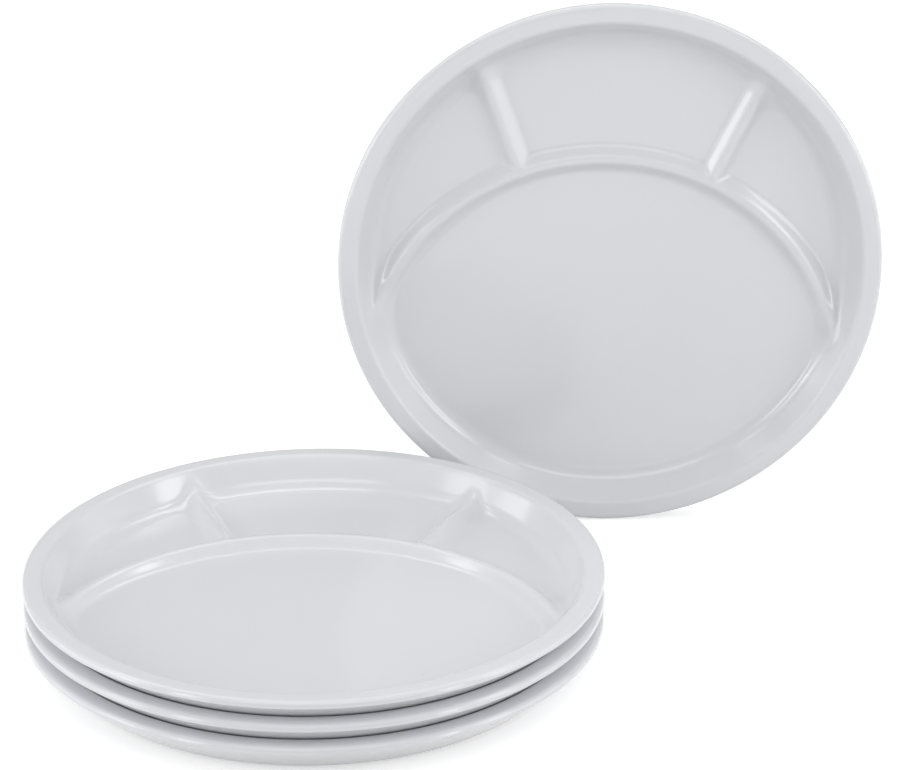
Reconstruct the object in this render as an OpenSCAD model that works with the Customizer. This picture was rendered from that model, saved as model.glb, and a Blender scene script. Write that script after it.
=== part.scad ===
// Set of four round compartment plates: three nested in a stack, one standing upright behind them.
// Each plate is one compression moulding in glossy white melamine: a wide flat rim with a parting
// crease, a steep inner wall, an arched ridge and two short dividers that part the floor, a foot ring
// underneath, and grooves that follow the ridges from below so that the wall stays even.
// Lengths are in millimetres. The origin lies on the table, in the middle of the whole arrangement.

/* [Plate] */
// Diameter at the parting crease, the widest line of the plate
plate_d = 260; // [200:1:320]
// Height from the table to the top of the rim
plate_h = 18.8; // [16:0.2:26]
// How far the parting crease lies below the top of the rim
crease_drop = 2.8; // [2.4:0.1:4]
// Width of the rim, from the crease to the inner wall
rim_w = 9.1; // [8:0.1:14]
// Rounding of the rim where it turns into the inner wall
rim_round = 2.5; // [1:0.1:3]
// Rounding of the rim's outer shoulder
shoulder_round = 2.2; // [1:0.1:2.4]
// How far the shoulder draws in between the crease and the top of the rim
shoulder_draft = 0.5; // [0.2:0.1:1]

/* [Walls and floor] */
// Slant of the inner wall, in degrees from upright
wall_slant = 30; // [20:1:36]
// Slant of the outer wall, in degrees from upright
outer_slant = 49; // [44:1:52]
// Thickness of the floor
floor_t = 3; // [2.4:0.1:4]
// Fillet between the inner wall and the floor
floor_fillet = 6; // [3:0.5:8]
// Rounding of the edge between the outer wall and the underside
base_round = 3; // [1:0.5:5]

/* [Foot ring] */
// Height of the foot ring
foot_h = 1.4; // [0.8:0.1:2]
// Width of the foot ring where it meets the underside
foot_w = 5; // [4:0.1:8]
// Distance from the edge of the underside in to the foot ring
foot_inset = 7; // [5:0.5:14]
// Draft of the foot ring's two sides
foot_draft = 0.7; // [0.3:0.1:1]
// Rounding of the foot ring's lower edges
foot_round = 0.6; // [0.2:0.1:1]

/* [Ridge and dividers] */
// Radius of the ridge's arch at its crest
ridge_r = 116; // [100:1:140]
// Distance from the plate's centre back to the top of the arch
ridge_apex = 52; // [44:1:60]
// Height of the ridge above the floor
ridge_h = 4.6; // [3.5:0.1:5.4]
// Width of the ridge on the floor, before its toes are filleted
ridge_base_w = 13; // [11:0.5:18]
// Angle of each divider from the plate's middle line, about the centre of the arch
divider_angle = 23; // [16:0.5:30]
// Height of the dividers above the floor
divider_h = 4.4; // [3.4:0.1:5.2]
// Width of a divider on the floor, before its toes are filleted
divider_base_w = 13; // [11:0.5:18]
// Width of the crests, before they are rounded
crest_w = 3; // [2.4:0.1:4]
// Rounding of the crests
crest_round = 1.6; // [0.8:0.1:2.4]
// Fillet at the toes of the ridge and the dividers
toe_round = 4; // [3:0.5:7]

/* [Set] */
// Clearance between a plate's outer wall and the rim that it nests in
nest_gap = 0.3; // [0.2:0.05:1]
// Turn of the plates about their own axes, in degrees
plate_turn = -3; // [-10:0.5:10]
// Sideways distance from the stack's axis to the standing plate's axis
standing_x = 137; // [100:1:240]
// Free space between the stack and the standing plate
standing_gap = 2; // [1:0.5:40]
// Lean of the standing plate, in degrees back from upright
standing_lean = 1; // [0:0.5:6]

/* [Hidden] */
$fn = 180;
melamine_white = [0.86, 0.865, 0.88];

// One overrun for every cut, and one for solids that run into the wall or the floor
overrun = 1;
// How far a toe dips below the floor, so that the floor cuts it cleanly
toe_dip = 0.12;
// Facets of each rounding
arc_steps = 6;

// Levels of the plate, from the table up
floor_z = foot_h + floor_t;
crease_z = plate_h - crease_drop;
root_z = foot_h + floor_t / 2;
ridge_top_z = floor_z + ridge_h;
divider_top_z = floor_z + divider_h;

// Radii of the plate
plate_r = plate_d / 2;
rim_in_r = plate_r - rim_w;
floor_edge_r = rim_in_r - (plate_h - floor_z) * tan(wall_slant);
base_r = plate_r - (crease_z - foot_h) * tan(outer_slant);
foot_out_r = base_r - foot_inset;
foot_in_r = foot_out_r - foot_w;
groove_end_r = foot_in_r - floor_t;

// The arch is struck from a centre in front of the plate's own
arch_y = ridge_apex - ridge_r;
divider_len = plate_r - arch_y - ridge_r;

// The outer wall of one plate clears the inner rounding of the rim below it by nest_gap
rim_arc_r = rim_in_r + rim_round / tan((90 + wall_slant) / 2);
rim_arc_z = plate_h - rim_round;
nest_rise = (rim_round + nest_gap + (plate_r - rim_arc_r) * cos(outer_slant)) / sin(outer_slant);
nest_pitch = rim_arc_z - crease_z + nest_rise;

// Places of the stack and of the standing plate, about the middle of the whole arrangement
standing_back = plate_r + plate_h + standing_gap + plate_r * sin(standing_lean);
standing_depth = standing_back + foot_out_r * sin(standing_lean);
stack_pos = [-standing_x / 2, (plate_r - standing_depth) / 2, 0];
standing_rise = plate_r * cos(standing_lean) - crease_z * sin(standing_lean);
standing_pos = stack_pos + [standing_x, standing_back, standing_rise];

// Radius of the middle of the wall at a level
function wall_mid_r(z) =
    let (inner = floor_edge_r + (z - floor_z) * tan(wall_slant))
    let (outer = base_r + (z - foot_h) * tan(outer_slant))
    (inner + outer) / 2;

function unit(v) = v / norm(v);

// Points of the arc that rounds corner b between its neighbours a and c
function corner_arc(a, b, c, radius) =
    let (to_a = unit(a - b), to_c = unit(c - b))
    let (half = acos(to_a * to_c) / 2)
    let (centre = b + unit(to_a + to_c) * radius / sin(half))
    let (first = b + to_a * radius / tan(half) - centre)
    let (last = b + to_c * radius / tan(half) - centre)
    let (start = atan2(first.y, first.x), raw = atan2(last.y, last.x) - start)
    let (turn = raw > 180 ? raw - 360 : raw < -180 ? raw + 360 : raw)
    [for (i = [0 : arc_steps])
        let (angle = start + turn * i / arc_steps)
        centre + radius * [cos(angle), sin(angle)]];

// Closed outline through corners given as [x, y, radius]; a radius of zero keeps the corner sharp
function rounded(corners) =
    let (n = len(corners))
    [for (i = [0 : n - 1])
        let (a = corners[(i + n - 1) % n], b = corners[i], c = corners[(i + 1) % n])
        each b.z > 0
            ? corner_arc([a.x, a.y], [b.x, b.y], [c.x, c.y], b.z)
            : [[b.x, b.y]]];

// Half section of the plate without its ridges, from the axis outwards underneath and back on top
shell_outline = rounded([
    [0, foot_h, 0],
    [foot_in_r, foot_h, 0],
    [foot_in_r + foot_draft, 0, foot_round],
    [foot_out_r - foot_draft, 0, foot_round],
    [foot_out_r, foot_h, 0],
    [base_r, foot_h, base_round],
    [plate_r, crease_z, 0],
    [plate_r - shoulder_draft, plate_h, shoulder_round],
    [rim_in_r, plate_h, rim_round],
    [floor_edge_r, floor_z, floor_fillet],
    [0, floor_z, 0]
]);

// Cross-section of a ridge: filleted toes that dip under the floor, and a rounded crest
function ridge_outline(base_w, top_z) =
    let (toe = base_w / 2 + toe_round)
    rounded([
        [-toe, root_z, 0],
        [-toe, floor_z - toe_dip, 0],
        [-base_w / 2, floor_z, toe_round],
        [-crest_w / 2, top_z, crest_round],
        [crest_w / 2, top_z, crest_round],
        [base_w / 2, floor_z, toe_round],
        [toe, floor_z - toe_dip, 0],
        [toe, root_z, 0]
    ]);

// Cross-section of the groove under a ridge, a floor's thickness inside the ridge
function groove_outline(base_w, top_z) =
    let (run = (base_w - crest_w) / 2, rise = top_z - floor_z)
    let (inset = floor_t * norm([run, rise]) / rise)
    let (half_w = base_w / 2 - inset + floor_t * run / rise)
    let (apex_z = top_z - floor_t, apex_w = half_w - (apex_z - foot_h) * run / rise)
    [
        [-half_w, foot_h - overrun],
        [-half_w, foot_h],
        [-max(apex_w, toe_dip), apex_z],
        [max(apex_w, toe_dip), apex_z],
        [half_w, foot_h],
        [half_w, foot_h - overrun]
    ];

// Arched bar: an outline carried round the centre of the arch
module arch(outline)
    translate([0, arch_y, 0])
        rotate_extrude()
            translate([ridge_r, 0])
                polygon(outline);

// The two dividers' bars: an outline carried straight out from the crest of the arch
module divider_bars(outline)
    for (side = [-1, 1])
        translate([0, arch_y, 0])
            rotate([0, 0, side * divider_angle])
                translate([0, ridge_r, 0])
                    rotate([90, 0, 180])
                        linear_extrude(divider_len)
                            polygon(outline);

// Ridge and dividers, cut off in the middle of the wall that they run into
module ridges()
    intersection() {
        union() {
            arch(ridge_outline(ridge_base_w, ridge_top_z));
            divider_bars(ridge_outline(divider_base_w, divider_top_z));
        }
        translate([0, 0, root_z - overrun])
            cylinder(
                h = ridge_top_z - root_z + 2 * overrun,
                r1 = wall_mid_r(root_z - overrun),
                r2 = wall_mid_r(ridge_top_z + overrun)
            );
    }

// Grooves under the ridge and the dividers, ended inside the foot ring
module grooves()
    intersection() {
        union() {
            arch(groove_outline(ridge_base_w, ridge_top_z));
            divider_bars(groove_outline(divider_base_w, divider_top_z));
        }
        cylinder(h = ridge_top_z, r = groove_end_r);
    }

// One plate, lying on its foot ring with its small compartments towards +Y
module plate()
    difference() {
        union() {
            rotate_extrude()
                polygon(shell_outline);
            ridges();
        }
        grooves();
    }

// A plate of the stack, counted from the table up
module stacked_plate(level)
    color(melamine_white)
        translate(stack_pos + [0, 0, level * nest_pitch])
            rotate([0, 0, plate_turn])
                plate();

module plate_bottom()
    stacked_plate(0);

module plate_middle()
    stacked_plate(1);

module plate_top()
    stacked_plate(2);

// The plate that stands on its rim, facing forwards
module plate_standing()
    color(melamine_white)
        translate(standing_pos)
            rotate([90 - standing_lean, 0, 0])
                rotate([0, 0, plate_turn])
                    plate();

plate_bottom();
plate_middle();
plate_top();
plate_standing();
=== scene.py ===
"""Looks of a set of four round compartment plates in glossy white melamine.

Three plates lie nested in a stack and one stands upright behind them. Every plate is the same moulding,
so one geometry tree turns the half section into a plate and raises its ridge and dividers by a rule.
Lengths are in metres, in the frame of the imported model.
"""

from __future__ import annotations

import logging
import math
from dataclasses import dataclass
from enum import Enum

import bpy
from mathutils import Euler, Matrix, Vector

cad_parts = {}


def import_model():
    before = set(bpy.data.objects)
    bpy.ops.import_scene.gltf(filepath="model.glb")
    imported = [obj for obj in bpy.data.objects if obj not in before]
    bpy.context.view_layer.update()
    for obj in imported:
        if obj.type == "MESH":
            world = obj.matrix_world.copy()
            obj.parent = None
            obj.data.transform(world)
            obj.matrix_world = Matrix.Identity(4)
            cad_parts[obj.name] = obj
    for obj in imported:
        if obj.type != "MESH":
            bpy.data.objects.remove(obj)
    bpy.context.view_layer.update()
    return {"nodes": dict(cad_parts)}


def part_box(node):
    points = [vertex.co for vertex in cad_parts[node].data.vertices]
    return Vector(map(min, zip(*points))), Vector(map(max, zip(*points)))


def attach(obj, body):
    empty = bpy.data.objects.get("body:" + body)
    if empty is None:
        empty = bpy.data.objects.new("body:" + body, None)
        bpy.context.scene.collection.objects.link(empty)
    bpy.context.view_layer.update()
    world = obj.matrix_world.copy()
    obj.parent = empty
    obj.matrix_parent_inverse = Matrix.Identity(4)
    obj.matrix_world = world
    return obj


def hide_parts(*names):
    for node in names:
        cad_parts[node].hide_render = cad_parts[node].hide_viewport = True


LOG = logging.getLogger("plates")
LOWEST_NODE = "plate_bottom"
STANDING_NODE = "plate_standing"
MM = 0.001
WHITE = (1.0, 1.0, 1.0, 1.0)

Socket = bpy.types.NodeSocket
Inputs = dict[str | int, object]


class Side(Enum):
    """Part of the half section that a ring of the plate belongs to."""

    FACE = 0.0
    EDGE = 1.0
    UNDER = 2.0


class Stand(Enum):
    """How a plate stands on the table."""

    LYING = "lying"
    UPRIGHT = "upright"


@dataclass(frozen=True)
class Corner:
    """One corner of the half section.

    Attributes:
        r: Distance from the plate's axis.
        z: Height above the table.
        radius: Rounding of the corner, or zero for a sharp one.
        step: Longest stretch between rings on the way to the next corner.
        side: Part of the section that begins here.
    """

    r: float
    z: float
    radius: float
    step: float
    side: Side


@dataclass(frozen=True)
class PlateSizes:
    """Sizes of one plate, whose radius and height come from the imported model.

    Attributes:
        plate_r: Radius at the parting crease.
        plate_h: Height from the table to the top of the rim.
        crease_drop: How far the crease lies below the top of the rim.
        crease_round: Rounding of the crease.
        rim_w: Width of the rim, from the crease to the inner wall.
        rim_round: Rounding of the rim where it turns into the inner wall.
        shoulder_round: Rounding of the rim's outer shoulder.
        shoulder_draft: How far the shoulder draws in above the crease.
        wall_slant: Slant of the inner wall from upright.
        outer_slant: Slant of the outer wall from upright.
        floor_t: Thickness of the floor.
        floor_fillet: Fillet between the inner wall and the floor.
        base_round: Rounding between the outer wall and the underside.
        foot_h: Height of the foot ring.
        foot_w: Width of the foot ring where it meets the underside.
        foot_inset: Distance from the edge of the underside in to the foot ring.
        foot_draft: Draft of the foot ring's two sides.
        foot_round: Rounding of the foot ring's lower edges.
        ridge_r: Radius of the ridge's arch at its crest.
        ridge_apex: Distance from the plate's axis back to the top of the arch.
        ridge_h: Height of the ridge above the floor.
        ridge_base_w: Width of the ridge on the floor, before its toes are blended.
        divider_angle: Angle of each divider from the middle line, about the arch's centre.
        divider_h: Height of the dividers above the floor.
        divider_base_w: Width of a divider on the floor, before its toes are blended.
        crest_w: Width of the crests, before they are blended.
        crest_blend: Reach of the smooth blend at the crests, in height.
        toe_blend: Reach of the smooth blend at the toes, in height.
        join_blend: Reach of the smooth blend where ridge and dividers meet, in height.
        end_blend: Reach of the smooth blend where they run up the wall, in height.
        groove_fade_slope: Rise over run of the grooves' ends.
        turn: Turn of the plate about its own axis.
        lean: Lean of the upright plate, back from upright.
        plain_r: Radius within which the floor has no ridge.
    """

    plate_r: float
    plate_h: float
    crease_drop: float = 2.8 * MM
    crease_round: float = 0.35 * MM
    rim_w: float = 9.1 * MM
    rim_round: float = 2.5 * MM
    shoulder_round: float = 2.2 * MM
    shoulder_draft: float = 0.5 * MM
    wall_slant: float = math.radians(30)
    outer_slant: float = math.radians(49)
    floor_t: float = 3.0 * MM
    floor_fillet: float = 9.0 * MM
    base_round: float = 3.0 * MM
    foot_h: float = 1.4 * MM
    foot_w: float = 5.0 * MM
    foot_inset: float = 7.0 * MM
    foot_draft: float = 0.7 * MM
    foot_round: float = 0.6 * MM
    ridge_r: float = 116.0 * MM
    ridge_apex: float = 52.0 * MM
    ridge_h: float = 4.6 * MM
    ridge_base_w: float = 13.0 * MM
    divider_angle: float = math.radians(23)
    divider_h: float = 4.4 * MM
    divider_base_w: float = 13.0 * MM
    crest_w: float = 3.0 * MM
    crest_blend: float = 1.2 * MM
    toe_blend: float = 2.0 * MM
    join_blend: float = 2.0 * MM
    end_blend: float = 11.0 * MM
    groove_fade_slope: float = 1.4
    turn: float = math.radians(-3)
    lean: float = math.radians(1)
    plain_r: float = 42.0 * MM

    @property
    def floor_z(self) -> float:
        """Height of the floor of the compartments."""
        return self.foot_h + self.floor_t

    @property
    def crease_z(self) -> float:
        """Height of the parting crease."""
        return self.plate_h - self.crease_drop

    @property
    def rim_in_r(self) -> float:
        """Radius at which the rim turns into the inner wall."""
        return self.plate_r - self.rim_w

    @property
    def floor_edge_r(self) -> float:
        """Radius at which the inner wall meets the floor."""
        return self.rim_in_r - (self.plate_h - self.floor_z) * math.tan(self.wall_slant)

    @property
    def base_r(self) -> float:
        """Radius at which the outer wall meets the underside."""
        return self.plate_r - (self.crease_z - self.foot_h) * math.tan(self.outer_slant)

    @property
    def foot_out_r(self) -> float:
        """Outer radius of the foot ring."""
        return self.base_r - self.foot_inset

    @property
    def foot_in_r(self) -> float:
        """Inner radius of the foot ring."""
        return self.foot_out_r - self.foot_w

    @property
    def arch_y(self) -> float:
        """Place of the arch's centre, in front of the plate's own."""
        return self.ridge_apex - self.ridge_r

    def slope(self, base_w: float, height: float) -> float:
        """Rise over run of a ridge's sides.

        Args:
            base_w: Width of the ridge on the floor.
            height: Height of the ridge.

        Returns:
            The slope of the straight part of its sides.
        """
        return height / ((base_w - self.crest_w) / 2)

    def groove_half_w(self, base_w: float, height: float) -> float:
        """Half the width of the groove under a ridge, at the underside.

        Args:
            base_w: Width of the ridge on the floor.
            height: Height of the ridge.

        Returns:
            The half width that leaves a floor's thickness between ridge and groove.
        """
        run = (base_w - self.crest_w) / 2
        inset = self.floor_t * math.hypot(run, height) / height
        return base_w / 2 - inset + self.floor_t * run / height


@dataclass(frozen=True)
class HalfSection:
    """Half section of a plate as a row of rings, from the middle of the floor round to the underside.

    Attributes:
        sizes: Sizes of the plate.
        fine: Longest stretch between rings where the ridge and the dividers stand.
        plain: The same in the middle of the floor and of the underside.
        wall: The same on the inner wall, the rim and the foot ring.
        hidden: The same on the outer wall and the rest of the underside.
        arc_parts: Parts that a rounding is made of.
    """

    sizes: PlateSizes
    fine: float = 0.65 * MM
    plain: float = 6.0 * MM
    wall: float = 1.4 * MM
    hidden: float = 4.5 * MM
    arc_parts: int = 6

    def corners(self) -> list[Corner]:
        """Lists the section's corners, with their roundings and the ring spacing that follows each.

        Returns:
            The corners, from the middle of the floor to the middle of the underside.
        """
        s = self.sizes
        face, edge, under = Side.FACE, Side.EDGE, Side.UNDER
        return [
            Corner(0.0, s.floor_z, 0.0, self.plain, face),
            Corner(s.plain_r, s.floor_z, 0.0, self.fine, face),
            Corner(s.floor_edge_r, s.floor_z, s.floor_fillet, self.wall, face),
            Corner(s.rim_in_r, s.plate_h, s.rim_round, self.wall, face),
            Corner(s.plate_r - s.shoulder_draft, s.plate_h, s.shoulder_round, self.wall, edge),
            Corner(s.plate_r, s.crease_z, s.crease_round, self.hidden, edge),
            Corner(s.base_r, s.foot_h, s.base_round, self.hidden, under),
            Corner(s.foot_out_r, s.foot_h, 0.0, self.wall, under),
            Corner(s.foot_out_r - s.foot_draft, 0.0, s.foot_round, self.wall, under),
            Corner(s.foot_in_r + s.foot_draft, 0.0, s.foot_round, self.wall, under),
            Corner(s.foot_in_r, s.foot_h, 0.0, self.hidden, under),
            Corner(s.plain_r, s.foot_h, 0.0, self.plain, under),
            Corner(0.0, s.foot_h, 0.0, self.plain, under),
        ]

    def _arc(self, before: Corner, corner: Corner, after: Corner) -> list[Vector]:
        """Rounds one corner.

        Args:
            before: The corner that comes before it.
            corner: The corner to round.
            after: The corner that comes after it.

        Returns:
            The points of the arc, or the corner itself where it stays sharp.
        """
        at = Vector((corner.r, corner.z))
        if corner.radius == 0:
            return [at]
        back = (Vector((before.r, before.z)) - at).normalized()
        ahead = (Vector((after.r, after.z)) - at).normalized()
        half = back.angle(ahead) / 2
        reach = corner.radius / math.tan(half)
        centre = at + (back + ahead).normalized() * corner.radius / math.sin(half)
        first, last = at + back * reach - centre, at + ahead * reach - centre
        # The signed angle counts clockwise, and the rotation the other way
        turn = -first.angle_signed(last)
        parts = range(self.arc_parts + 1)
        return [centre + Matrix.Rotation(turn * i / self.arc_parts, 2) @ first for i in parts]

    def rings(self) -> list[tuple[Vector, Side]]:
        """Lays rings along the section, close enough for each stretch.

        Returns:
            Radius and height of every ring, with the side that it belongs to.
        """
        corners = self.corners()
        found: list[tuple[Vector, Side]] = []
        for i, corner in enumerate(corners):
            before, after = corners[max(i - 1, 0)], corners[min(i + 1, len(corners) - 1)]
            points = self._arc(before, corner, after)
            if found:
                last, step, side = found[-1][0], before.step, before.side
                count = max(1, math.ceil((points[0] - last).length / step))
                found += [(last.lerp(points[0], k / count), side) for k in range(1, count)]
            found += [(point, corner.side) for point in points]
        return found

    def mesh(self, name: str) -> bpy.types.Mesh:
        """Draws the rings as a line of vertices in the XZ plane.

        Args:
            name: Name of the mesh.

        Returns:
            A mesh whose attribute "side" names each ring's part of the section.
        """
        rings = self.rings()
        mesh = bpy.data.meshes.new(name)
        points = [(ring.x, 0.0, ring.y) for ring, _ in rings]
        mesh.from_pydata(points, [(i, i + 1) for i in range(len(points) - 1)], [])
        side = mesh.attributes.new("side", "FLOAT", "POINT")
        side.data.foreach_set("value", [part.value for _, part in rings])
        return mesh


class NodeWriter:
    """Adds nodes to one tree and links them."""

    # Numbers of a Mix node's inputs for plain values
    MIX_FACTOR = 0
    MIX_FIRST = 2
    MIX_SECOND = 3

    def __init__(self, tree: bpy.types.NodeTree) -> None:
        """Starts writing in a tree."""
        self.tree = tree

    def declare(self, in_out: str, kinds: dict[str, str]) -> None:
        """Gives the tree named sockets.

        Args:
            in_out: "INPUT" or "OUTPUT".
            kinds: Type of each socket, by name.
        """
        for name, kind in kinds.items():
            self.tree.interface.new_socket(name, in_out=in_out, socket_type=kind)

    def fill(self, node: bpy.types.Node, inputs: Inputs) -> None:
        """Links outputs to a node's inputs, or sets their values.

        Args:
            node: The node.
            inputs: Output sockets or plain values for its inputs, by name or number.
        """
        for key, value in inputs.items():
            socket = node.inputs[key]
            if isinstance(value, Socket):
                self.tree.links.new(value, socket)
            else:
                socket.default_value = value

    def add(self, kind: str, inputs: Inputs | None = None, **settings: object) -> bpy.types.Node:
        """Adds a node.

        Args:
            kind: The node's type.
            inputs: Output sockets or plain values for its inputs, by name or number.
            settings: Values for its own properties.

        Returns:
            The new node.
        """
        node = self.tree.nodes.new(kind)
        for key, value in settings.items():
            setattr(node, key, value)
        self.fill(node, inputs or {})
        return node

    def math(self, operation: str, *values: object) -> Socket:
        """Adds a Math node.

        Args:
            operation: What it works out.
            values: Its inputs, as numbers or sockets.

        Returns:
            Its output.
        """
        return self.add("ShaderNodeMath", dict(enumerate(values)), operation=operation).outputs[0]

    def mix(self, factor: object, first: object, second: object) -> Socket:
        """Adds a Mix node for plain values.

        Args:
            factor: How much of the second value it takes.
            first: Value at a factor of zero.
            second: Value at a factor of one.

        Returns:
            Its output.
        """
        inputs = {self.MIX_FACTOR: factor, self.MIX_FIRST: first, self.MIX_SECOND: second}
        return self.add("ShaderNodeMix", inputs, data_type="FLOAT").outputs[0]


class PlateTree:
    """Geometry tree that turns a half section into a plate with its ridge, dividers and grooves."""

    NAME = "plate_from_half_section"
    NUMBERS = (
        "Crowding", "Floor Level", "Underside Level", "Arch Place", "Arch Radius", "Divider Angle",
        "Ridge Height", "Ridge Half Width", "Ridge Slope", "Divider Height", "Divider Half Width",
        "Divider Slope", "Ridge Groove Half Width", "Divider Groove Half Width", "Groove End",
        "Groove End Slope", "Crest Blend", "Toe Blend", "Join Blend", "End Blend", "End Blend Start",
        "End Blend Run",
    )
    # Halfway between the numbers of neighbouring sides
    FACE_LIMIT = (Side.FACE.value + Side.EDGE.value) / 2
    UNDER_LIMIT = (Side.EDGE.value + Side.UNDER.value) / 2
    MERGE_DISTANCE = 0.01 * MM
    # Half a step, which keeps the number of a ring clear of rounding
    ROUNDING_GUARD = 0.5

    def __init__(self) -> None:
        """Builds the tree."""
        self.tree = bpy.data.node_groups.new(self.NAME, "GeometryNodeTree")
        self.nodes = NodeWriter(self.tree)
        self._interface()
        self.given = self.nodes.add("NodeGroupInput")
        self._build()

    def _interface(self) -> None:
        """Names the tree's inputs and its output."""
        geometry = {"Geometry": "NodeSocketGeometry"}
        kinds = {
            **geometry,
            "Spokes": "NodeSocketInt",
            **dict.fromkeys(self.NUMBERS, "NodeSocketFloat"),
            "Turn": "NodeSocketRotation",
            "Place": "NodeSocketVector",
            "Face Finish": "NodeSocketMaterial",
            "Underside Finish": "NodeSocketMaterial",
        }
        self.nodes.declare("INPUT", kinds)
        self.nodes.declare("OUTPUT", geometry)

    def _value(self, name: str) -> Socket:
        """One of the tree's inputs."""
        return self.given.outputs[name]

    def _spoke_grid(self) -> tuple[Socket, Socket, Socket]:
        """Lays a grid of rings by spokes.

        Returns:
            The grid, the number of the ring and the angle of the spoke of each of its points.
        """
        n = self.nodes
        size = n.add("GeometryNodeAttributeDomainSize", {"Geometry": self._value("Geometry")})
        per_ring = n.math("ADD", self._value("Spokes"), 1.0)
        counts = {"Vertices X": size.outputs["Point Count"], "Vertices Y": per_ring}
        grid = n.add("GeometryNodeMeshGrid", counts)
        index = n.add("GeometryNodeInputIndex").outputs[0]
        guarded = n.math("ADD", index, self.ROUNDING_GUARD)
        ring = n.math("FLOOR", n.math("DIVIDE", guarded, per_ring))
        spoke = n.math("SUBTRACT", index, n.math("MULTIPLY", ring, per_ring))
        even = n.math("MULTIPLY", n.math("DIVIDE", spoke, self._value("Spokes")), math.tau)
        shift = n.math("MULTIPLY", n.math("COSINE", even), self._value("Crowding"))
        return grid.outputs["Mesh"], ring, n.math("ADD", even, shift)

    def _sample(self, ring: Socket, kind: str, value: Socket) -> Socket:
        """Reads a value of the half section at a ring.

        Args:
            ring: Number of the ring.
            kind: Data type of the value.
            value: The field to read.

        Returns:
            The value for each point of the grid.
        """
        inputs = {"Geometry": self._value("Geometry"), "Value": value, "Index": ring}
        return self.nodes.add("GeometryNodeSampleIndex", inputs, data_type=kind, domain="POINT").outputs[0]

    def _build(self) -> None:
        """Writes the tree from the grid to the finished plate."""
        n = self.nodes
        grid, ring, angle = self._spoke_grid()
        position = n.add("GeometryNodeInputPosition").outputs[0]
        section = n.add("ShaderNodeSeparateXYZ", {"Vector": self._sample(ring, "FLOAT_VECTOR", position)})
        side_field = n.add("GeometryNodeInputNamedAttribute", {"Name": "side"}, data_type="FLOAT")
        side = self._sample(ring, "FLOAT", side_field.outputs[0])
        radius, height = section.outputs["X"], section.outputs["Z"]
        x = n.math("MULTIPLY", radius, n.math("COSINE", angle))
        y = n.math("MULTIPLY", radius, n.math("SINE", angle))
        from_arch, from_divider = self._distances(x, y)
        face_z = self._raised(from_arch, from_divider, radius, height)
        under_z = self._grooved(from_arch, from_divider, radius, height)
        top = n.mix(n.math("LESS_THAN", side, self.FACE_LIMIT), height, face_z)
        level = n.mix(n.math("GREATER_THAN", side, self.UNDER_LIMIT), top, under_z)
        point = n.add("ShaderNodeCombineXYZ", {"X": x, "Y": y, "Z": level})
        self._finish(grid, point.outputs[0], side)

    def _distances(self, x: Socket, y: Socket) -> tuple[Socket, Socket]:
        """Works out how far a point lies from the ridge and the dividers, about the arch's centre.

        Args:
            x: Place of the point across the plate.
            y: Place of the point towards the back.

        Returns:
            The distances from the arch and from the nearer divider.
        """
        n = self.nodes
        back = n.math("SUBTRACT", y, self._value("Arch Place"))
        reach = n.math("SQRT", n.math("ADD", n.math("MULTIPLY", x, x), n.math("MULTIPLY", back, back)))
        past_arch = n.math("SUBTRACT", reach, self._value("Arch Radius"))
        bearing = n.math("ABSOLUTE", n.math("ARCTAN2", x, back))
        off_bearing = n.math("SUBTRACT", bearing, self._value("Divider Angle"))
        across = n.math("MULTIPLY", reach, n.math("SINE", off_bearing))
        short = n.math("MAXIMUM", n.math("MULTIPLY", past_arch, -1.0), 0.0)
        square = n.math("ADD", n.math("MULTIPLY", across, across), n.math("MULTIPLY", short, short))
        return n.math("ABSOLUTE", past_arch), n.math("SQRT", square)

    def _bar(self, distance: Socket, kind: str, width: str) -> Socket:
        """Height of a rounded bar over its base.

        Args:
            distance: Distance from the bar's middle line.
            kind: "Ridge" or "Divider", the first word of its inputs.
            width: Last words of the input that gives half its base.

        Returns:
            Its height, below zero beyond its base.
        """
        n = self.nodes
        left = n.math("SUBTRACT", self._value(f"{kind} {width}"), distance)
        side = n.math("MULTIPLY", left, self._value(f"{kind} Slope"))
        return n.math("SMOOTH_MIN", side, self._value(f"{kind} Height"), self._value("Crest Blend"))

    def _raised(self, from_arch: Socket, from_divider: Socket, radius: Socket, height: Socket) -> Socket:
        """Height of the face with its ridge and dividers.

        Args:
            from_arch: Distance from the arch.
            from_divider: Distance from the nearer divider.
            radius: Distance from the plate's axis.
            height: Height of the plain section.

        Returns:
            The section's height, with the ridge and dividers blended into floor and wall.
        """
        n = self.nodes
        ridge = self._bar(from_arch, "Ridge", "Half Width")
        divider = self._bar(from_divider, "Divider", "Half Width")
        both = n.math("SMOOTH_MAX", ridge, divider, self._value("Join Blend"))
        level = n.math("ADD", both, self._value("Floor Level"))
        start = self._value("End Blend Start")
        grown = {
            "Value": radius,
            "From Min": start,
            "From Max": n.math("ADD", start, self._value("End Blend Run")),
            "To Min": self._value("Toe Blend"),
            "To Max": self._value("End Blend"),
        }
        blend = n.add("ShaderNodeMapRange", grown, interpolation_type="SMOOTHSTEP")
        return n.math("SMOOTH_MAX", height, level, blend.outputs[0])

    def _grooved(self, from_arch: Socket, from_divider: Socket, radius: Socket, height: Socket) -> Socket:
        """Height of the underside with the grooves that follow the ridges.

        Args:
            from_arch: Distance from the arch.
            from_divider: Distance from the nearer divider.
            radius: Distance from the plate's axis.
            height: Height of the plain section.

        Returns:
            The section's height, with grooves that end inside the foot ring.
        """
        n = self.nodes
        ridge = self._bar(from_arch, "Ridge", "Groove Half Width")
        divider = self._bar(from_divider, "Divider", "Groove Half Width")
        both = n.math("MAXIMUM", ridge, divider)
        left = n.math("SUBTRACT", self._value("Groove End"), radius)
        end = n.math("MULTIPLY", left, self._value("Groove End Slope"))
        ended = n.math("SMOOTH_MIN", both, end, self._value("Crest Blend"))
        level = n.math("ADD", ended, self._value("Underside Level"))
        return n.math("MAXIMUM", height, level)

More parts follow.
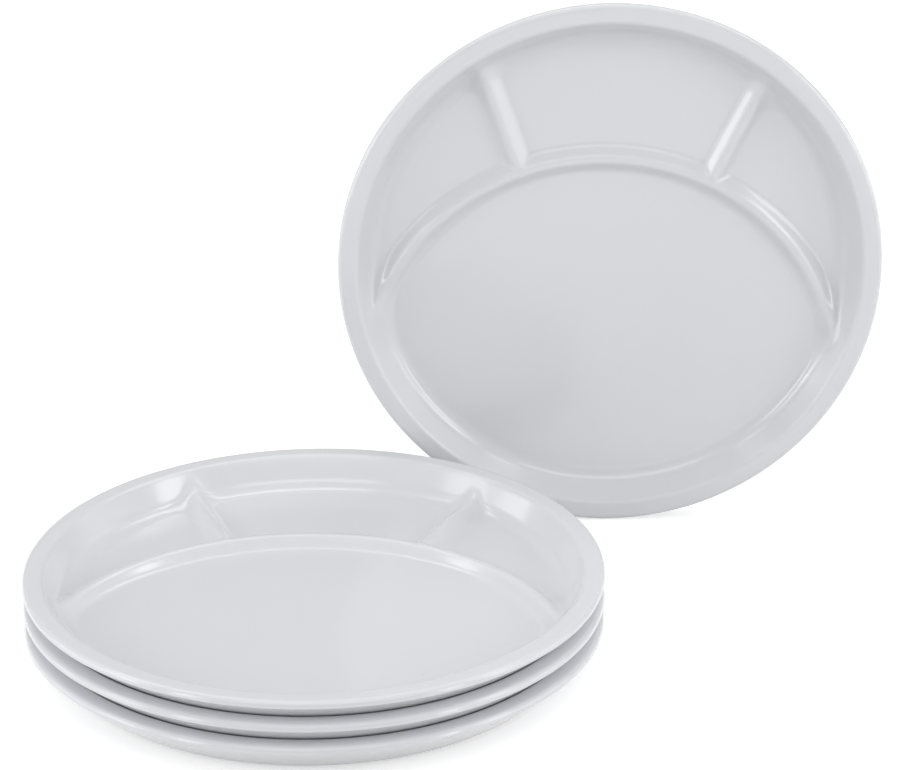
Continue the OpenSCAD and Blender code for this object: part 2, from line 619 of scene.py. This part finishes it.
    def _finish(self, grid: Socket, point: Socket, side: Socket) -> None:
        """Moves the grid's points, closes the seams, places the plate and gives it its finishes.

        Args:
            grid: The grid of rings by spokes.
            point: Where each of its points goes.
            side: Part of the section that each of its points belongs to.
        """
        n = self.nodes
        kept = n.add("GeometryNodeCaptureAttribute", domain="POINT")
        kept.capture_items.new("FLOAT", "Side")
        n.fill(kept, {"Geometry": grid, "Side": side})
        moved = n.add("GeometryNodeSetPosition", {"Geometry": kept.outputs["Geometry"], "Position": point})
        closed = n.add(
            "GeometryNodeMergeByDistance",
            {"Geometry": moved.outputs[0], "Distance": self.MERGE_DISTANCE},
        )
        smooth = n.add("GeometryNodeSetShadeSmooth", {"Geometry": closed.outputs[0]})
        placed = n.add(
            "GeometryNodeTransform",
            {
                "Geometry": smooth.outputs[0],
                "Translation": self._value("Place"),
                "Rotation": self._value("Turn"),
            },
        )
        real = n.add("GeometryNodeRealizeInstances", {"Geometry": placed.outputs[0]})
        faced = n.add(
            "GeometryNodeSetMaterial",
            {"Geometry": real.outputs[0], "Material": self._value("Face Finish")},
        )
        below = n.math("GREATER_THAN", kept.outputs["Side"], self.UNDER_LIMIT)
        footed = n.add(
            "GeometryNodeSetMaterial",
            {"Geometry": faced.outputs[0], "Selection": below, "Material": self._value("Underside Finish")},
        )
        n.add("NodeGroupOutput", {"Geometry": footed.outputs[0]})

    def socket(self, name: str) -> str:
        """Identifier of the tree's input of that name."""
        items = self.tree.interface.items_tree
        return next(i.identifier for i in items if i.name == name and i.in_out == "INPUT")


class MouldedSurface:
    """Shader group of what a pressed melamine surface shows: cloudy tone, specks, haze and a ripple."""

    NAME = "moulded_surface"
    INPUTS = {
        "Tone": "NodeSocketColor",
        "Cloud": "NodeSocketFloat",
        "Speck": "NodeSocketFloat",
        "Gloss": "NodeSocketFloat",
        "Haze": "NodeSocketFloat",
        "Ripple Scale": "NodeSocketFloat",
    }
    OUTPUTS = {
        "Color": "NodeSocketColor",
        "Roughness": "NodeSocketFloat",
        "Height": "NodeSocketFloat",
    }
    CLOUD_SCALE = 14.0
    CLOUD_DETAIL = 3.0
    HAZE_SCALE = 90.0
    HAZE_DETAIL = 2.0
    SPECK_SCALE = 260.0
    SPECK_SIZE = 0.045
    SPECK_RARITY = 0.975
    NOISE_MEAN = 0.5

    def __init__(self) -> None:
        """Builds the group."""
        self.tree = bpy.data.node_groups.new(self.NAME, "ShaderNodeTree")
        self.nodes = NodeWriter(self.tree)
        self.nodes.declare("INPUT", self.INPUTS)
        self.nodes.declare("OUTPUT", self.OUTPUTS)
        self._build()

    def _build(self) -> None:
        """Writes the group's nodes."""
        n = self.nodes
        given = n.add("NodeGroupInput").outputs
        place = n.add("ShaderNodeTexCoord").outputs["Object"]
        cloud = self._wander(place, self.CLOUD_SCALE, self.CLOUD_DETAIL)
        shade = n.math("MULTIPLY_ADD", cloud, given["Cloud"], 1.0)
        clean = n.math("SUBTRACT", 1.0, n.math("MULTIPLY", self._specks(place), given["Speck"]))
        tone = {0: given["Tone"], "Scale": n.math("MULTIPLY", shade, clean)}
        tint = n.add("ShaderNodeVectorMath", tone, operation="SCALE")
        haze = self._wander(place, self.HAZE_SCALE, self.HAZE_DETAIL)
        rough = n.math("MULTIPLY_ADD", haze, given["Haze"], given["Gloss"])
        ripple = n.add("ShaderNodeTexNoise", {"Vector": place, "Scale": given["Ripple Scale"]})
        n.add(
            "NodeGroupOutput",
            {"Color": tint.outputs[0], "Roughness": rough, "Height": ripple.outputs["Fac"]},
        )

    def _wander(self, place: Socket, scale: float, detail: float) -> Socket:
        """Adds noise that wanders about zero.

        Args:
            place: Point on the surface.
            scale: Fineness of the noise.
            detail: How many finer layers it has.

        Returns:
            The noise less its mean.
        """
        n = self.nodes
        noise = n.add("ShaderNodeTexNoise", {"Vector": place, "Scale": scale, "Detail": detail})
        return n.math("SUBTRACT", noise.outputs["Fac"], self.NOISE_MEAN)

    def _specks(self, place: Socket) -> Socket:
        """Adds a mask of rare small specks.

        Args:
            place: Point on the surface.

        Returns:
            One on a speck and zero elsewhere.
        """
        n = self.nodes
        grains = n.add("ShaderNodeTexVoronoi", {"Vector": place, "Scale": self.SPECK_SCALE})
        mote = n.math("LESS_THAN", grains.outputs["Distance"], self.SPECK_SIZE)
        chance = n.add("ShaderNodeSeparateColor", {"Color": grains.outputs["Color"]})
        chosen = n.math("GREATER_THAN", chance.outputs["Red"], self.SPECK_RARITY)
        return n.math("MULTIPLY", mote, chosen)


@dataclass(frozen=True)
class MelamineFinish:
    """One finish of the moulding.

    Attributes:
        name: Name of the material.
        tone: Colour of the resin, linear.
        cloud: How much the tone wanders.
        speck: How dark a speck is.
        gloss: Mean roughness.
        haze: How much the roughness wanders.
        ripple_scale: Fineness of the ripple that the mould leaves.
        ripple: Strength of the ripple.
        coat: Weight of the clear overlay.
    """

    name: str
    tone: tuple[float, float, float] = (0.72, 0.728, 0.752)
    cloud: float = 0.03
    speck: float = 0.5
    gloss: float = 0.18
    haze: float = 0.06
    ripple_scale: float = 160.0
    ripple: float = 0.015
    coat: float = 0.3

    COAT_ROUGHNESS = 0.07
    RESIN_IOR = 1.6
    RIPPLE_DEPTH = 0.2 * MM

    def material(self, surface: MouldedSurface) -> bpy.types.Material:
        """Builds the material.

        Args:
            surface: The group that varies it.

        Returns:
            The finished material.
        """
        made = bpy.data.materials.new(self.name)
        made.use_nodes = True
        made.diffuse_color = (*self.tone, 1.0)
        n = NodeWriter(made.node_tree)
        values = {
            "Tone": (*self.tone, 1.0),
            "Cloud": self.cloud,
            "Speck": self.speck,
            "Gloss": self.gloss,
            "Haze": self.haze,
            "Ripple Scale": self.ripple_scale,
        }
        varied = n.add("ShaderNodeGroup", values, node_tree=surface.tree).outputs
        ripple = {"Strength": self.ripple, "Distance": self.RIPPLE_DEPTH, "Height": varied["Height"]}
        bump = n.add("ShaderNodeBump", ripple)
        looks = {
            "Base Color": varied["Color"],
            "Roughness": varied["Roughness"],
            "Normal": bump.outputs["Normal"],
            "IOR": self.RESIN_IOR,
            "Coat Weight": self.coat,
            "Coat Roughness": self.COAT_ROUGHNESS,
        }
        n.fill(made.node_tree.nodes["Principled BSDF"], looks)
        return made


@dataclass(frozen=True)
class Plate:
    """One plate of the set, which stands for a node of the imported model.

    Attributes:
        node: Name of the node.
        stand: How the plate stands.
        sizes: Sizes of the plate.
        spokes: Number of points round each ring.
        crowding: How much closer than the mean the spokes stand at the back, among the dividers.
    """

    node: str
    stand: Stand
    sizes: PlateSizes
    spokes: int = 500
    crowding: float = 0.45

    def place(self) -> tuple[Euler, Vector]:
        """Works out the plate's turn and place from the box of its node.

        Returns:
            The rotation, and the middle of the plane on which the foot ring stands.
        """
        low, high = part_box(self.node)
        s = self.sizes
        middle = (low + high) / 2
        if self.stand is Stand.LYING:
            return Euler((0.0, 0.0, s.turn)), Vector((middle.x, middle.y, low.z))
        upright = Matrix.Rotation(math.pi / 2 - s.lean, 3, "X") @ Matrix.Rotation(s.turn, 3, "Z")
        rise = s.plate_r * math.cos(s.lean) - s.crease_z * math.sin(s.lean)
        back = high.y - s.foot_out_r * math.sin(s.lean)
        return upright.to_euler(), Vector((middle.x, back, low.z + rise))

    def _numbers(self) -> dict[str, float]:
        """Gathers the sizes that the tree takes.

        Returns:
            Values for the tree's inputs, by name.
        """
        s = self.sizes
        return {
            "Crowding": self.crowding,
            "Floor Level": s.floor_z,
            "Underside Level": s.foot_h,
            "Arch Place": s.arch_y,
            "Arch Radius": s.ridge_r,
            "Divider Angle": s.divider_angle,
            "Ridge Height": s.ridge_h,
            "Ridge Half Width": s.ridge_base_w / 2,
            "Ridge Slope": s.slope(s.ridge_base_w, s.ridge_h),
            "Divider Height": s.divider_h,
            "Divider Half Width": s.divider_base_w / 2,
            "Divider Slope": s.slope(s.divider_base_w, s.divider_h),
            "Ridge Groove Half Width": s.groove_half_w(s.ridge_base_w, s.ridge_h),
            "Divider Groove Half Width": s.groove_half_w(s.divider_base_w, s.divider_h),
            "Groove End": s.foot_in_r - s.floor_t,
            "Groove End Slope": s.groove_fade_slope,
            "Crest Blend": s.crest_blend,
            "Toe Blend": s.toe_blend,
            "Join Blend": s.join_blend,
            "End Blend": s.end_blend,
            "End Blend Start": s.floor_edge_r - s.floor_fillet,
            "End Blend Run": s.floor_fillet,
        }

    def _mesh(self, name: str, tree: PlateTree, finishes: dict[str, bpy.types.Material]) -> bpy.types.Mesh:
        """Bakes the geometry tree on the plate's half section.

        Args:
            name: Name of the mesh.
            tree: The geometry tree of a plate.
            finishes: Materials for the tree's inputs, by name.

        Returns:
            The plate's mesh, in its place and with its finishes.
        """
        turn, place = self.place()
        values = {"Spokes": self.spokes, **self._numbers(), "Turn": turn, "Place": place, **finishes}
        line = bpy.data.objects.new(f"{name}_section", HalfSection(self.sizes).mesh(f"{name}_section"))
        bpy.context.scene.collection.objects.link(line)
        modifier = line.modifiers.new("plate", "NODES")
        modifier.node_group = tree.tree
        for key, value in values.items():
            modifier[tree.socket(key)] = value
        graph = bpy.context.evaluated_depsgraph_get()
        mesh = bpy.data.meshes.new_from_object(line.evaluated_get(graph))
        mesh.name = name
        bpy.data.objects.remove(line)
        return mesh

    def build(
        self, tree: PlateTree, face: bpy.types.Material, underside: bpy.types.Material
    ) -> bpy.types.Object:
        """Makes the plate and hands it to the frame.

        Args:
            tree: The geometry tree of a plate.
            face: Finish of the face and the rim.
            underside: Finish of the underside.

        Returns:
            The finished piece.
        """
        name = f"{self.node}_moulding"
        mesh = self._mesh(name, tree, {"Face Finish": face, "Underside Finish": underside})
        piece = bpy.data.objects.new(name, mesh)
        bpy.context.scene.collection.objects.link(piece)
        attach(piece, self.node)
        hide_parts(self.node)
        return piece


@dataclass(frozen=True)
class PlateSet:
    """The stack of three plates and the plate that stands behind it.

    Attributes:
        stands: How each plate stands, by the name of its node.
        face: Finish of the faces and the rims.
        underside: Finish of the undersides.
    """

    stands: dict[str, Stand]
    face: MelamineFinish = MelamineFinish("melamine_face")
    underside: MelamineFinish = MelamineFinish(
        "melamine_underside", gloss=0.34, haze=0.1, ripple=0.03, coat=0.0
    )

    def build(self) -> list[bpy.types.Object]:
        """Makes every plate with its finishes.

        Returns:
            The plates' pieces, in the order of their nodes.
        """
        tree, surface = PlateTree(), MouldedSurface()
        face, underside = self.face.material(surface), self.underside.material(surface)
        low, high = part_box(LOWEST_NODE)
        sizes = PlateSizes(plate_r=(high.x - low.x) / 2, plate_h=high.z - low.z)
        plates = [Plate(node, stand, sizes) for node, stand in self.stands.items()]
        return [plate.build(tree, face, underside) for plate in plates]


@dataclass(frozen=True)
class PhotoCamera:
    """Camera at the photograph's viewing angle, placed from the stack's axis.

    Attributes:
        focal_px: Focal length, in pixels of the photograph.
        frame_px: Width of the photograph, in pixels.
        sensor_w: Width of the sensor, in millimetres.
        pitch: How far the camera looks down.
        aside: Distance to the right of the stack's axis.
        away: Distance in front of the stack's axis.
        above: Height above the table.
    """

    focal_px: float = 3000.0
    frame_px: float = 900.0
    sensor_w: float = 36.0
    pitch: float = math.radians(22.49)
    aside: float = 60.62 * MM
    away: float = 1208.68 * MM
    above: float = 627.01 * MM

    def build(self, stack_axis: Vector) -> None:
        """Makes the camera.

        Args:
            stack_axis: Foot of the stack's axis on the table.
        """
        lens = bpy.data.cameras.new("photo_camera")
        lens.sensor_width = self.sensor_w
        lens.lens = self.sensor_w * self.focal_px / self.frame_px
        camera = bpy.data.objects.new("photo_camera", lens)
        camera.location = stack_axis + Vector((self.aside, -self.away, self.above))
        camera.rotation_euler = (math.pi / 2 - self.pitch, 0.0, 0.0)
        bpy.context.scene.collection.objects.link(camera)
        bpy.context.scene.camera = camera


@dataclass(frozen=True)
class Softbox:
    """One large soft lamp.

    Attributes:
        name: Name of the lamp.
        place: Where it hangs.
        size: Its width and height.
        power: Its power, in watts.
        aim: Point among the plates that it faces.
    """

    name: str
    place: tuple[float, float, float]
    size: tuple[float, float]
    power: float
    aim: tuple[float, float, float] = (0.0, 0.05, 0.05)

    def build(self) -> None:
        """Makes the lamp."""
        data = bpy.data.lights.new(self.name, "AREA")
        data.shape = "RECTANGLE"
        data.size, data.size_y = self.size
        data.energy = self.power
        lamp = bpy.data.objects.new(self.name, data)
        lamp.location = self.place
        towards = Vector(self.aim) - Vector(self.place)
        lamp.rotation_euler = towards.to_track_quat("-Z", "Y").to_euler()
        bpy.context.scene.collection.objects.link(lamp)


@dataclass(frozen=True)
class Studio:
    """White table and soft light round the plates.

    Attributes:
        table_size: Length of the table's sides.
        table_tone: Grey of the table under the light.
        table_roughness: Roughness of the table.
        table_lift: Glow that the camera and reflections see on the table.
        sky_low: Strength of the sky at the horizon.
        sky_high: Strength of the sky overhead.
        sky_seen: Strength of the sky that the camera sees.
        lamps: The lamps round the table.
    """

    table_size: float = 12.0
    table_tone: float = 0.7
    table_roughness: float = 0.9
    table_lift: float = 0.52
    sky_low: float = 0.36
    sky_high: float = 0.6
    sky_seen: float = 1.0
    lamps: tuple[Softbox, ...] = (
        Softbox("overhead_softbox", (-0.07, 0.6, 1.4), (1.9, 0.3), 4.7),
        Softbox("front_top_softbox", (0.07, -1.05, 1.5), (1.8, 0.55), 4.8),
        Softbox("front_softbox", (0.05, -1.9, 1.15), (1.6, 0.9), 0.6),
        Softbox("left_softbox", (-1.37, -0.38, 0.66), (0.5, 0.5), 1.7),
        Softbox("right_softbox", (1.19, -0.39, 0.73), (0.36, 0.42), 1.7),
        Softbox("front_left_softbox", (-1.1, -1.05, 0.45), (0.25, 0.8), 2.4),
        Softbox("front_right_softbox", (1.25, -1.05, 0.45), (0.2, 0.8), 2.8),
        Softbox("left_high_softbox", (-1.07, 0.075, 1.15), (0.28, 0.28), 0.8),
        Softbox("right_high_softbox", (0.88, 0.075, 1.19), (0.25, 0.25), 0.85),
        Softbox("left_low_softbox", (-1.45, -0.12, 0.34), (1.15, 0.5), 4.2),
        Softbox("right_low_softbox", (1.45, -0.12, 0.34), (1.15, 0.5), 3.6),
    )

    def build(self) -> None:
        """Makes the table, the lamps and the sky."""
        bpy.context.scene.view_settings.view_transform = "Standard"
        self._table()
        for lamp in self.lamps:
            lamp.build()
        self._sky()

    def _table(self) -> None:
        """Makes the table top."""
        half = self.table_size / 2
        corners = [(-half, -half, 0.0), (half, -half, 0.0), (half, half, 0.0), (-half, half, 0.0)]
        mesh = bpy.data.meshes.new("table_top")
        mesh.from_pydata(corners, [], [(0, 1, 2, 3)])
        mesh.materials.append(self._table_material())
        table = bpy.data.objects.new("table_top", mesh)
        bpy.context.scene.collection.objects.link(table)

    def _table_material(self) -> bpy.types.Material:
        """Makes a white board that is seen a little lifted, so that it stays pale and keeps its shadow.

        Returns:
            The finished material.
        """
        made = bpy.data.materials.new("white_board")
        made.use_nodes = True
        n = NodeWriter(made.node_tree)
        path = n.add("ShaderNodeLightPath").outputs
        seen = n.math("MAXIMUM", path["Is Camera Ray"], path["Is Glossy Ray"])
        looks = {
            "Base Color": (self.table_tone, self.table_tone, self.table_tone, 1.0),
            "Roughness": self.table_roughness,
            "Specular IOR Level": 0.0,
            "Emission Color": WHITE,
            "Emission Strength": n.math("MULTIPLY", seen, self.table_lift),
        }
        n.fill(made.node_tree.nodes["Principled BSDF"], looks)
        return made

    def _sky(self) -> None:
        """Makes white light from all round, brighter above, seen as plain white by the camera."""
        world = bpy.data.worlds.new("white_studio")
        world.use_nodes = True
        bpy.context.scene.world = world
        n = NodeWriter(world.node_tree)
        path = n.add("ShaderNodeLightPath").outputs
        towards = n.add("ShaderNodeTexCoord").outputs["Generated"]
        rise = n.add("ShaderNodeSeparateXYZ", {"Vector": towards}).outputs["Z"]
        levels = {"Value": rise, "To Min": self.sky_low, "To Max": self.sky_high}
        glow = n.add("ShaderNodeMapRange", levels).outputs[0]
        strength = n.mix(path["Is Camera Ray"], glow, self.sky_seen)
        n.fill(world.node_tree.nodes["Background"], {"Color": WHITE, "Strength": strength})


def main() -> None:
    """Builds the plates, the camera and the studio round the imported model."""
    logging.basicConfig(level=logging.INFO, format="%(name)s: %(message)s")
    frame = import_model()
    stands = {
        node: Stand.UPRIGHT if node == STANDING_NODE else Stand.LYING
        for node in sorted(frame["nodes"])
    }
    for piece in PlateSet(stands).build():
        LOG.info("%s: %d faces", piece.name, len(piece.data.polygons))
    low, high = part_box(LOWEST_NODE)
    PhotoCamera().build(Vector(((low.x + high.x) / 2, (low.y + high.y) / 2, 0.0)))
    Studio().build()


if __name__ == "__main__":
    main()
